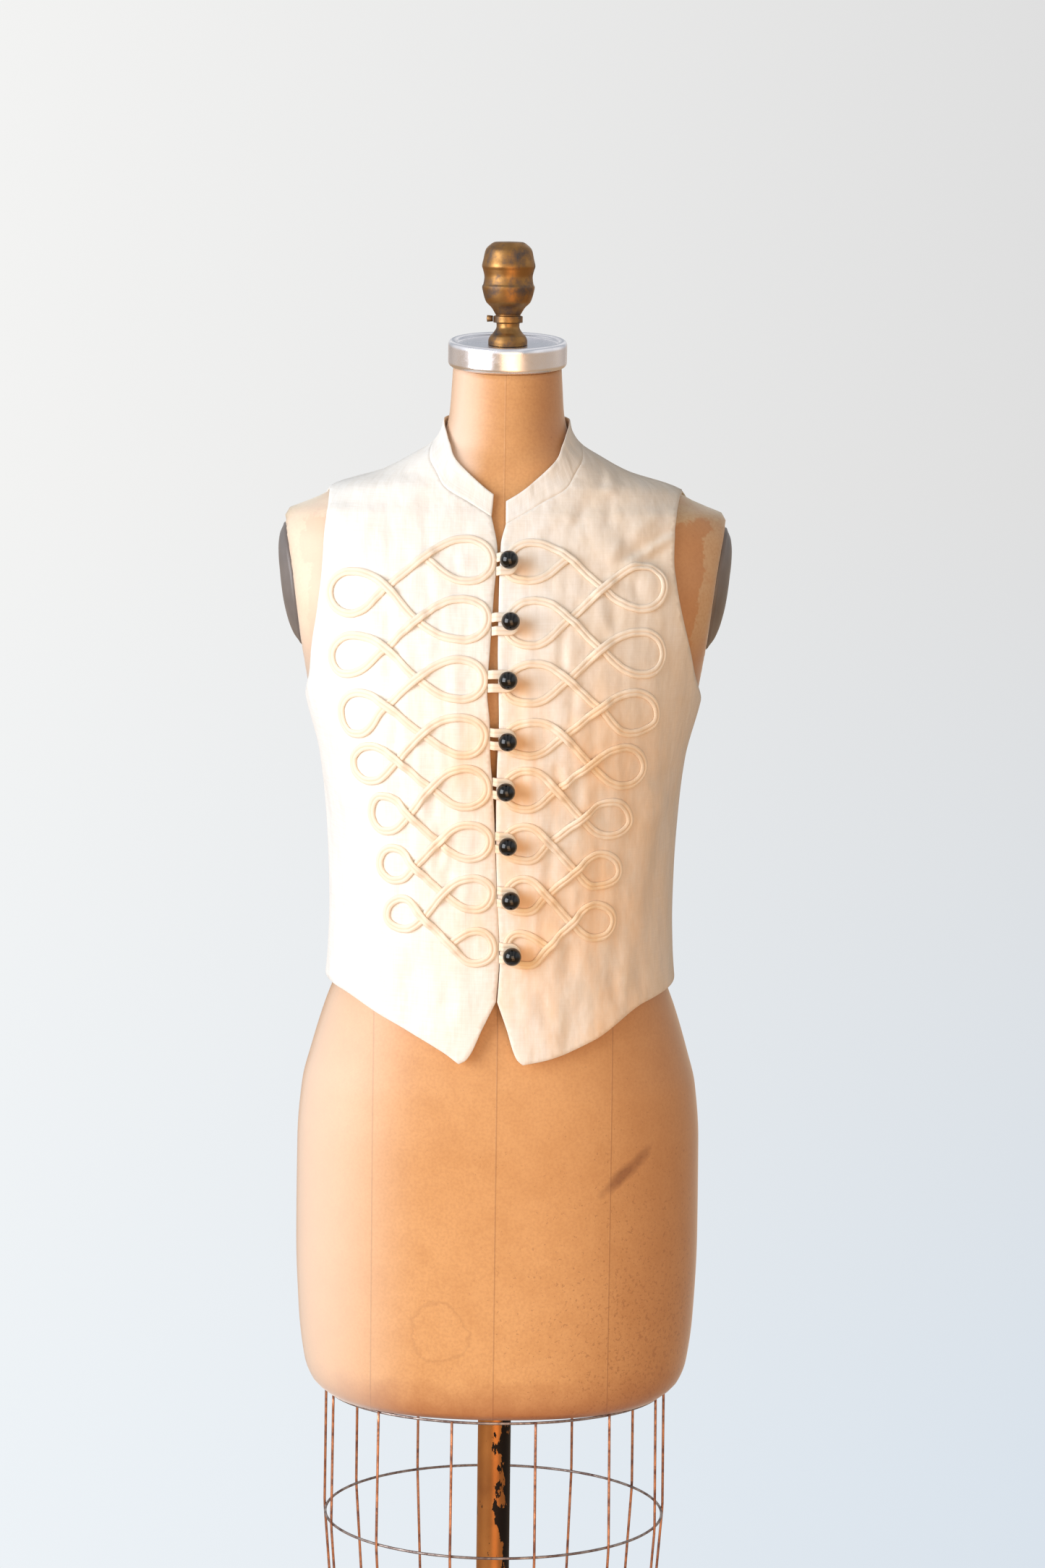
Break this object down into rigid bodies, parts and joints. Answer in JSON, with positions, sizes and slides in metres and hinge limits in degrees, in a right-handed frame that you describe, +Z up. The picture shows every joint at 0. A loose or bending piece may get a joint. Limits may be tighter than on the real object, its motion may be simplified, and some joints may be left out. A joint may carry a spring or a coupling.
{
  "type": "linen vest on a dress form",
  "caption": "Sleeveless linen vest with a band collar, looped braid fronts and ball buttons, on a canvas dress form with a neck cap, wire cage, pole and round base.",
  "frame": {"origin": "on the floor under the centre of the round base", "axes": "+Z up, the vest's front faces -Y, +X is the viewer's right"},
  "size_m": [0.4006, 0.38, 1.6496],
  "materials": {
    "linen": "matte",
    "braid": "matte",
    "button": "gloss",
    "canvas": "matte",
    "arm_plate": "satin",
    "neck_cap": "satin",
    "brass": "satin",
    "wire": "satin",
    "pole": "satin",
    "base": "satin"
  },
  "bodies": {
    "root": {"arm_plate_left": "arm_plate", "arm_plate_right": "arm_plate", "back": "linen", "braid_left": "braid", "braid_right": "braid", "button_1": "button", "button_2": "button", "button_3": "button", "button_4": "button", "button_5": "button", "button_6": "button", "button_7": "button", "button_8": "button", "button_loop_1": "braid", "button_loop_2": "braid", "button_loop_3": "braid", "button_loop_4": "braid", "button_loop_5": "braid", "button_loop_6": "braid", "button_loop_7": "braid", "button_loop_8": "braid", "cage_ring_bottom": "wire", "cage_ring_middle": "wire", "cage_ring_top": "wire", "cage_wire_01": "wire", "cage_wire_02": "wire", "cage_wire_03": "wire", "cage_wire_04": "wire", "cage_wire_05": "wire", "cage_wire_06": "wire", "cage_wire_07": "wire", "cage_wire_08": "wire", "cage_wire_09": "wire", "cage_wire_10": "wire", "cage_wire_11": "wire", "cage_wire_12": "wire", "cage_wire_13": "wire", "collar": "linen", "form_body": "canvas", "front_left": "linen", "front_right": "linen", "knob": "brass", "neck_cap": "neck_cap", "pole": "pole", "stand_base": "base", "thumb_screw": "brass"}
  },
  "joints": []
}
